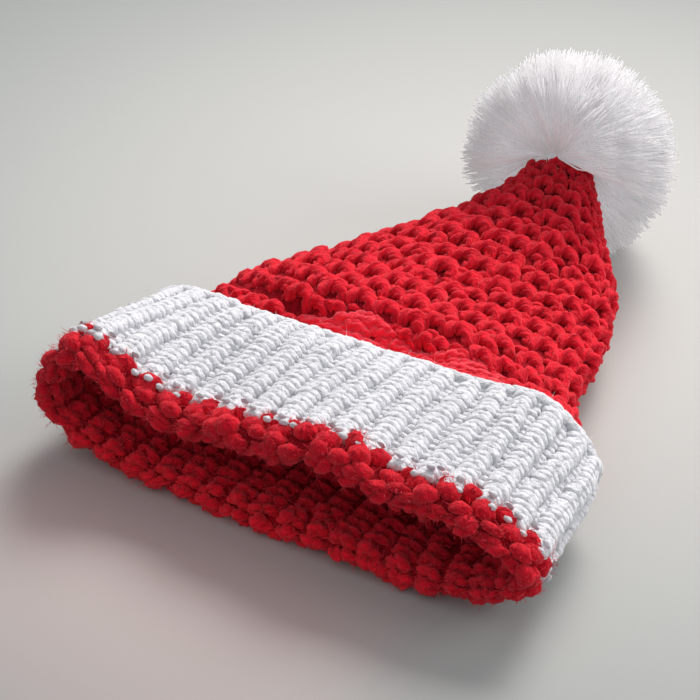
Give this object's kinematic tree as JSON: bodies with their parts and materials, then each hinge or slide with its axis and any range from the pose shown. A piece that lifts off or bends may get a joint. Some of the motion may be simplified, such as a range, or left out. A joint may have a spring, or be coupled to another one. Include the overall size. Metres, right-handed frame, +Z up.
{
  "type": "knitted santa hat",
  "caption": "Knitted santa hat lying flat: a tapered red crown open at its mouth, a wide turned-up ribbed white cuff and a round white yarn pompom on the tip.",
  "frame": {"origin": "middle of the hat's footprint, on the surface that it lies on", "axes": "+Z up, +Y from the mouth to the pompom, +X to the right, looking into the mouth"},
  "size_m": [0.244, 0.3284, 0.1],
  "materials": {
    "red_knit": "matte chunky knit",
    "white_rib_knit": "matte ribbed knit",
    "white_cut_yarn": "soft cut yarn"
  },
  "bodies": {
    "root": {"crown": "red_knit", "cuff": "white_rib_knit", "pompom": "white_cut_yarn"}
  },
  "joints": []
}
